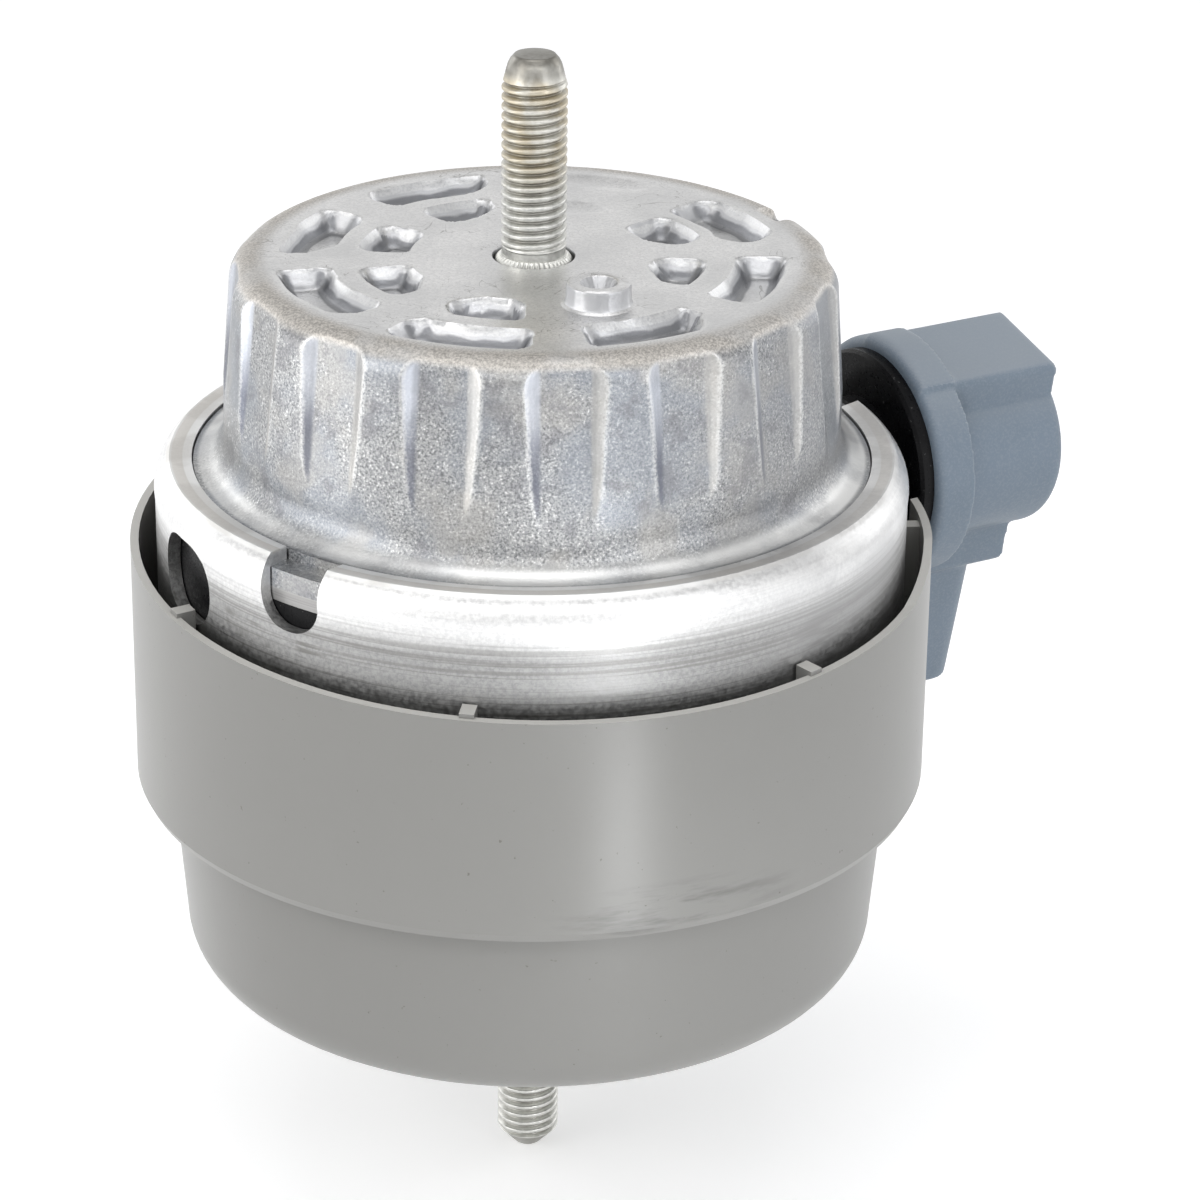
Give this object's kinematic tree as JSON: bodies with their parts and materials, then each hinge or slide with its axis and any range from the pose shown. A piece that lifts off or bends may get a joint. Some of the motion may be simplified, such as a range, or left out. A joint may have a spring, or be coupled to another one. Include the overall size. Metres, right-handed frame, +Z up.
{
  "type": "engine mount",
  "caption": "Round hydraulic engine mount with a stud at each end, a fluted cast cap, a rolled metal housing, a stepped plastic shield cup and a side solenoid with a plug socket.",
  "frame": {"origin": "On the mount's axis, at the seat face under the core, where the lower stud leaves it.", "axes": "+Z up along the mount's axis to the top stud; the solenoid leaves the housing 28.5 degrees from +X towards +Y."},
  "size_m": [0.1474, 0.1238, 0.1858],
  "materials": {
    "plated_steel": "zinc-plated steel thread, slightly stained",
    "cast_aluminium": "tumbled die-cast aluminium, fine sparkle",
    "spun_aluminium": "satin spun aluminium with light scuffs",
    "turned_aluminium": "plain aluminium",
    "plate_aluminium": "dull stamped aluminium",
    "grey_plastic": "satin warm grey moulded plastic",
    "blue_grey_plastic": "matte blue-grey moulded plastic",
    "black_plastic": "black moulded plastic",
    "black_rubber": "black rubber",
    "copper_wire": "enamelled copper wire",
    "magnet_steel": "plain soft steel",
    "tinned_blade": "tinned terminal blade"
  },
  "bodies": {
    "lower": {"core": "turned_aluminium", "lower_stud": "plated_steel", "heat_shield_cup": "grey_plastic", "rubber_spring": "black_rubber"},
    "upper": {"top_stud": "plated_steel", "top_cap": "cast_aluminium", "bellows": "black_rubber", "upper_nozzle_plate": "plate_aluminium", "decoupler_membrane": "black_rubber", "nozzle_body": "black_plastic", "plate_seal": "black_rubber", "support_ring": "turned_aluminium", "housing": "spun_aluminium", "solenoid_flange": "black_plastic", "nose_seal": "black_rubber", "solenoid_housing": "blue_grey_plastic", "solenoid_yoke": "magnet_steel", "yoke_washer": "magnet_steel", "coil_bobbin": "black_plastic", "coil_winding": "copper_wire", "pole_piece": "magnet_steel", "terminal_back": "tinned_blade", "terminal_front": "tinned_blade"},
    "plunger": {"valve_plunger": "magnet_steel", "plunger_spring": "magnet_steel"}
  },
  "joints": [
    {"name": "mount_deflection", "type": "slide", "parent": "lower", "child": "upper", "axis": [0, 0, 1], "range_m": [-0.006, 0.004], "stiffness_N_per_m": 250000, "deforming": ["rubber_spring"]},
    {"name": "valve_stroke", "type": "slide", "parent": "upper", "child": "plunger", "axis": [0.8788, 0.4772, 0], "range_m": [0, 0.0015], "stiffness_N_per_m": 400, "deforming": ["plunger_spring"]}
  ]
}
